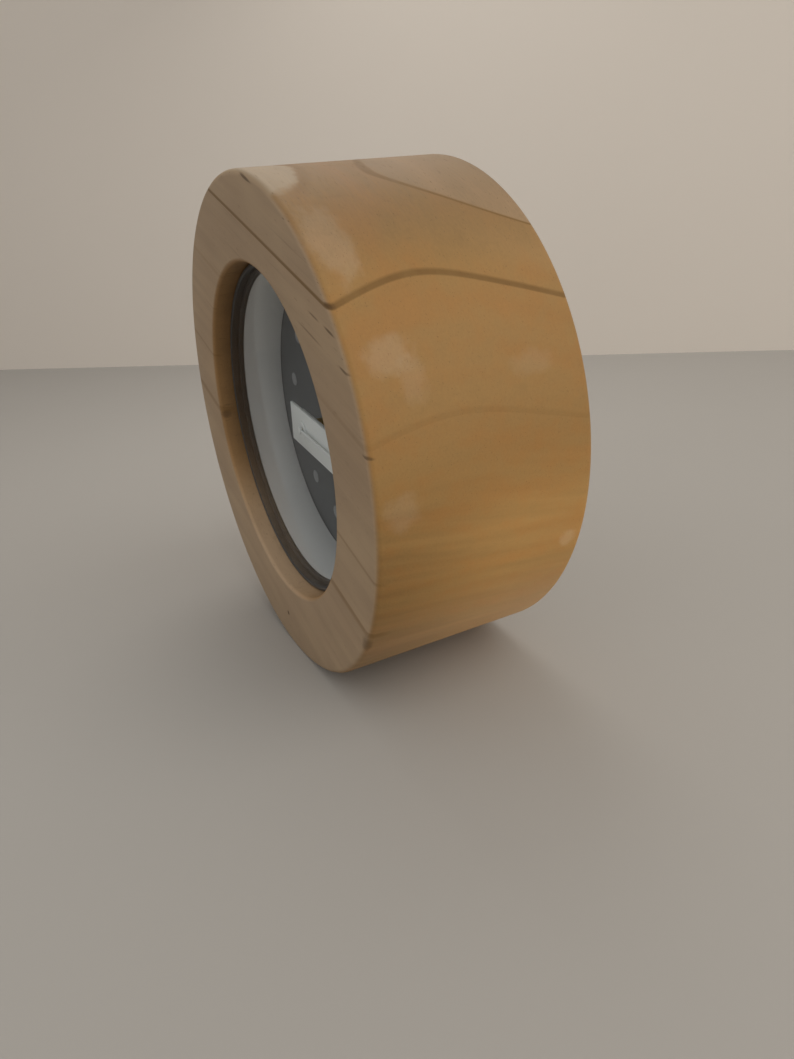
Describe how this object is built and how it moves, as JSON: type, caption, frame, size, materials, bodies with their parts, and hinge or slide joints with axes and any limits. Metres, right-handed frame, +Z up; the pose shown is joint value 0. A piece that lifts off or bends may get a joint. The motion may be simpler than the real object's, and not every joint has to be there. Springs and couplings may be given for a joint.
{
  "type": "round wooden desk clock",
  "caption": "Round solid-wood desk clock: a turned ring standing on a small flat, with a deep-set quartz dial, broad bar hands, and a setting knob and battery hatch at the back.",
  "frame": {"origin": "middle of the small flat that the wooden ring stands on", "axes": "+Z up, +Y from the dial towards the back along the clock's axis, +X to the right as seen from the front"},
  "size_m": [0.1, 0.0428, 0.0995],
  "materials": {
    "wood": "pale honey hardwood, sanded, satin",
    "black_plastic": "fine moulded grain",
    "clear_lens": "clear polished",
    "ring_grey": "matte light grey",
    "dial_dark": "matte dark grey print",
    "hand_white": "satin white paint",
    "band_rubber": "matte",
    "movement_plastic": "natural moulded",
    "brass": "plain",
    "steel": "bright",
    "copper": "enamelled copper wire",
    "board_green": "green lacquer"
  },
  "bodies": {
    "clock_case": {"wooden_body": "wood", "bezel": "black_plastic", "lens": "clear_lens", "dial_ring": "ring_grey", "dial": "dial_dark", "insert_case": "black_plastic", "retaining_band": "band_rubber", "back_cover": "black_plastic", "cover_screw_1": "steel", "cover_screw_2": "steel", "cover_screw_3": "steel", "movement_plate": "movement_plastic", "train_bridge": "movement_plastic", "stator": "steel", "coil_core": "steel", "coil_winding": "copper", "circuit_board": "board_green", "driver_chip": "black_plastic", "quartz_crystal": "steel", "battery_cell": "steel", "battery_contact_minus": "brass", "battery_contact_plus": "brass"},
    "minute_set": {"cannon_pinion": "brass", "minute_hand": "hand_white"},
    "hour_set": {"hour_wheel": "brass", "hour_hand": "hand_white"},
    "minute_wheel_set": {"minute_wheel": "brass"},
    "setting_set": {"setting_knob": "black_plastic"},
    "seconds_set": {"seconds_wheel": "brass", "second_hand": "hand_white"},
    "third_set": {"third_wheel": "brass"},
    "centre_set": {"centre_wheel": "brass", "clutch_spring": "steel"},
    "intermediate_set": {"intermediate_wheel": "movement_plastic"},
    "rotor_set": {"rotor": "steel"},
    "hatch_set": {"battery_hatch": "black_plastic"}
  },
  "joints": [
    {"name": "minute_turn", "type": "hinge", "parent": "clock_case", "child": "minute_set", "pos_m": [0, 0, 0.04951], "axis": [0, 1, 0], "continuous": true},
    {"name": "hour_turn", "type": "hinge", "parent": "clock_case", "child": "hour_set", "pos_m": [0, 0, 0.04951], "axis": [0, 1, 0], "continuous": true},
    {"name": "minute_wheel_turn", "type": "hinge", "parent": "clock_case", "child": "minute_wheel_set", "pos_m": [-0.006, 0, 0.04951], "axis": [0, 1, 0], "continuous": true},
    {"name": "setting_turn", "type": "hinge", "parent": "clock_case", "child": "setting_set", "pos_m": [-0.012, 0, 0.04951], "axis": [0, 1, 0], "continuous": true},
    {"name": "seconds_turn", "type": "hinge", "parent": "clock_case", "child": "seconds_set", "pos_m": [0, 0, 0.04951], "axis": [0, 1, 0], "continuous": true},
    {"name": "third_turn", "type": "hinge", "parent": "clock_case", "child": "third_set", "pos_m": [0.00775, 0, 0.05398], "axis": [0, 1, 0], "continuous": true},
    {"name": "centre_turn", "type": "hinge", "parent": "clock_case", "child": "centre_set", "pos_m": [0, 0, 0.04951], "axis": [0, 1, 0], "continuous": true},
    {"name": "intermediate_turn", "type": "hinge", "parent": "clock_case", "child": "intermediate_set", "pos_m": [-0.0038, 0, 0.05766], "axis": [0, 1, 0], "continuous": true},
    {"name": "rotor_turn", "type": "hinge", "parent": "clock_case", "child": "rotor_set", "pos_m": [-0.00987, 0, 0.06116], "axis": [0, 1, 0], "continuous": true},
    {"name": "hatch_turn", "type": "hinge", "parent": "clock_case", "child": "hatch_set", "pos_m": [0, 0, 0.03332], "axis": [0, 1, 0], "range_deg": [0, 45]}
  ],
  "couplings": [
    {"joint": "hour_turn", "follows": "minute_turn", "ratio": 0.083333},
    {"joint": "minute_wheel_turn", "follows": "minute_turn", "ratio": -0.33333},
    {"joint": "setting_turn", "follows": "minute_turn", "ratio": 1},
    {"joint": "third_turn", "follows": "seconds_turn", "ratio": -0.13333},
    {"joint": "centre_turn", "follows": "seconds_turn", "ratio": 0.016667},
    {"joint": "intermediate_turn", "follows": "seconds_turn", "ratio": -5},
    {"joint": "rotor_turn", "follows": "seconds_turn", "ratio": 30}
  ]
}
